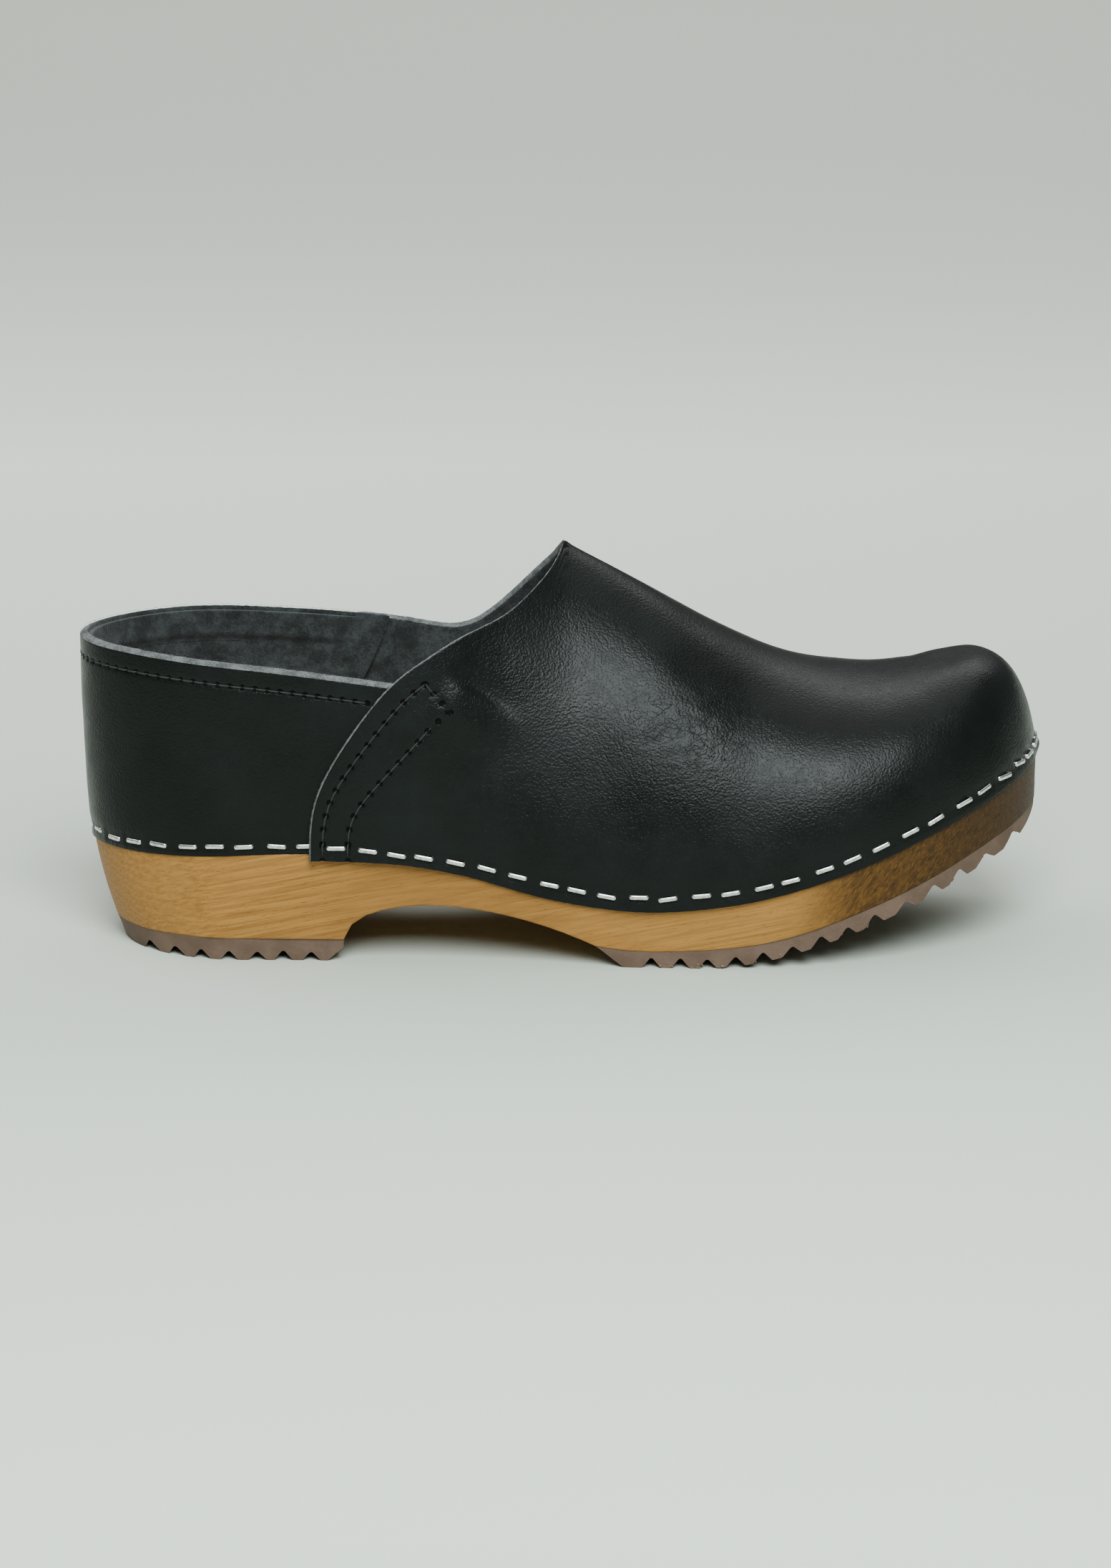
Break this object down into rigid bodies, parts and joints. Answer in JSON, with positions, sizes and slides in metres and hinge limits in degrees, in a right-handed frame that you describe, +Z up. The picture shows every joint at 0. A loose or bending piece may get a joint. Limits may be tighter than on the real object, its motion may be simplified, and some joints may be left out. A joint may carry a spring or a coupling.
{
  "type": "wooden clog",
  "caption": "Right-foot closed-back clog: a shaped wooden sole with ribbed rubber treads and a stapled black leather upper.",
  "frame": {"origin": "middle of the object's footprint, on the floor under the treads", "axes": "+X from the heel to the toe, +Y towards the inner (big toe) side, +Z up"},
  "size_m": [0.2626, 0.0916, 0.1084],
  "materials": {
    "wood": "golden brown stained alder, satin lacquer",
    "tread_rubber": "matt mauve-brown rubber",
    "upper_leather": "smooth black full-grain leather, semi-matt",
    "band_leather": "black split leather, rough side out",
    "staple_wire": "bright galvanised wire",
    "thread": "black waxed thread"
  },
  "bodies": {
    "root": {"wood_sole": "wood", "heel_tread": "tread_rubber", "forepart_tread": "tread_rubber", "vamp": "upper_leather", "heel_quarter": "upper_leather", "topline_band": "band_leather", "vamp_staples": "staple_wire", "quarter_staples": "staple_wire", "outer_seam_thread": "thread", "inner_seam_thread": "thread", "topline_thread": "thread"}
  },
  "joints": []
}
